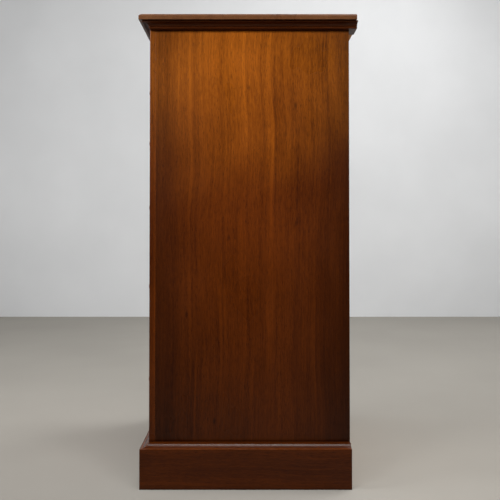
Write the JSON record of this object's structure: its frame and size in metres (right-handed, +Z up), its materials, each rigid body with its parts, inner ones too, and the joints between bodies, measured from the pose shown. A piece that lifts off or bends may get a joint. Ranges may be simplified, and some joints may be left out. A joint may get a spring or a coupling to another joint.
{
  "type": "chest of drawers",
  "caption": "Tall narrow chest of graduated sliding drawers between plain pilasters, on a moulded plinth, with a moulded cornice and a thumb-edged top.",
  "frame": {"origin": "on the floor, in the middle of the whole object's box", "axes": "+Z up, -Y out of the drawers' fronts, +X to the right of someone who faces the front"},
  "size_m": [0.636, 0.5486, 1.183],
  "materials": {
    "polished_mahogany": "french polished",
    "turned_mahogany": "turned and polished",
    "drawer_lining": "planed and waxed",
    "carcase_pine": "sawn and planed, bare"
  },
  "bodies": {
    "case": {"side_left": "polished_mahogany", "side_right": "polished_mahogany", "frieze_rail": "polished_mahogany", "drawer_rails": "polished_mahogany", "pilaster_left": "polished_mahogany", "pilaster_right": "polished_mahogany", "plinth_front": "polished_mahogany", "plinth_left": "polished_mahogany", "plinth_right": "polished_mahogany", "plinth_moulding_front": "polished_mahogany", "plinth_moulding_left": "polished_mahogany", "plinth_moulding_right": "polished_mahogany", "cornice_front": "polished_mahogany", "cornice_left": "polished_mahogany", "cornice_right": "polished_mahogany", "top_slab": "polished_mahogany", "case_bottom": "carcase_pine", "case_top": "carcase_pine", "back_boards": "carcase_pine", "drawer_runners": "carcase_pine", "drawer_guides": "carcase_pine", "drawer_stops": "carcase_pine", "plinth_back": "carcase_pine", "plinth_blocks": "carcase_pine", "cornice_back_rail": "carcase_pine"},
    "drawer_1": {"drawer_1_front": "polished_mahogany", "drawer_1_sides": "drawer_lining", "drawer_1_back": "drawer_lining", "drawer_1_bottom": "drawer_lining", "drawer_1_knobs": "turned_mahogany"},
    "drawer_2": {"drawer_2_front": "polished_mahogany", "drawer_2_sides": "drawer_lining", "drawer_2_back": "drawer_lining", "drawer_2_bottom": "drawer_lining", "drawer_2_knobs": "turned_mahogany"},
    "drawer_3": {"drawer_3_front": "polished_mahogany", "drawer_3_sides": "drawer_lining", "drawer_3_back": "drawer_lining", "drawer_3_bottom": "drawer_lining", "drawer_3_knobs": "turned_mahogany"},
    "drawer_4": {"drawer_4_front": "polished_mahogany", "drawer_4_sides": "drawer_lining", "drawer_4_back": "drawer_lining", "drawer_4_bottom": "drawer_lining", "drawer_4_knobs": "turned_mahogany"},
    "drawer_5": {"drawer_5_front": "polished_mahogany", "drawer_5_sides": "drawer_lining", "drawer_5_back": "drawer_lining", "drawer_5_bottom": "drawer_lining", "drawer_5_knobs": "turned_mahogany"}
  },
  "joints": [
    {"name": "drawer_1_slide", "type": "slide", "parent": "case", "child": "drawer_1", "axis": [0, -1, 0], "range_m": [0, 0.33]},
    {"name": "drawer_2_slide", "type": "slide", "parent": "case", "child": "drawer_2", "axis": [0, -1, 0], "range_m": [0, 0.33]},
    {"name": "drawer_3_slide", "type": "slide", "parent": "case", "child": "drawer_3", "axis": [0, -1, 0], "range_m": [0, 0.33]},
    {"name": "drawer_4_slide", "type": "slide", "parent": "case", "child": "drawer_4", "axis": [0, -1, 0], "range_m": [0, 0.33]},
    {"name": "drawer_5_slide", "type": "slide", "parent": "case", "child": "drawer_5", "axis": [0, -1, 0], "range_m": [0, 0.33]}
  ]
}
